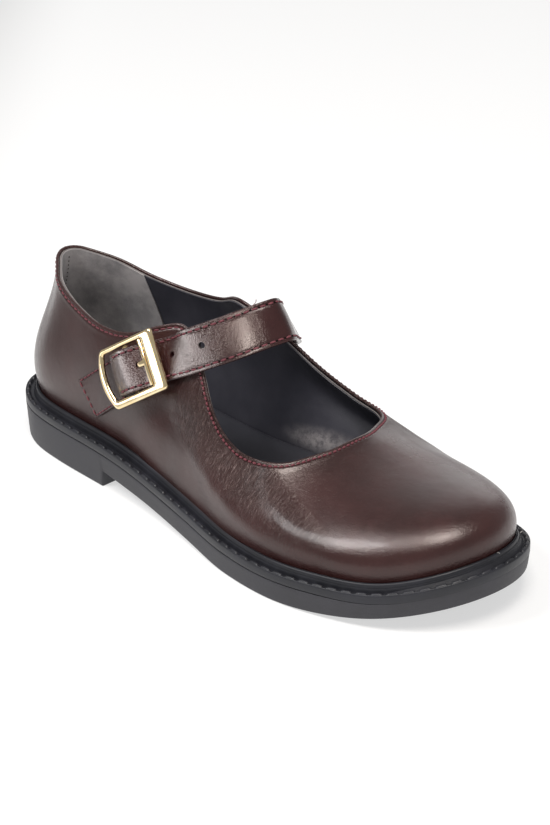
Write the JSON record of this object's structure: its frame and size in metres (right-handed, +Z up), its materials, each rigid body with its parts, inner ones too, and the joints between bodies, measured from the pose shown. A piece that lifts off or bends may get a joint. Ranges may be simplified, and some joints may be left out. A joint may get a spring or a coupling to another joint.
{
  "type": "mary jane shoe",
  "caption": "Right-foot women's leather Mary Jane: hollow upper with a buckled instep strap over a black moulded rubber sole with a low heel.",
  "frame": {"origin": "middle of the bounding box, on the floor", "axes": "+X towards the toe, +Y towards the inner side of the foot, +Z up"},
  "size_m": [0.265, 0.0988, 0.0936],
  "materials": {
    "black_rubber_sole": "matt moulded",
    "black_rubber_welt": "satin moulded with stitch marks",
    "black_lining_leather": "smooth satin",
    "oxblood_leather": "smooth glossy",
    "gold_metal": "polished pale gold"
  },
  "bodies": {
    "root": {"outsole": "black_rubber_sole", "welt": "black_rubber_welt", "insole": "black_lining_leather", "upper": "oxblood_leather", "strap": "oxblood_leather", "chape": "oxblood_leather", "buckle_frame": "gold_metal", "buckle_bar": "gold_metal", "buckle_tongue": "gold_metal"}
  },
  "joints": []
}
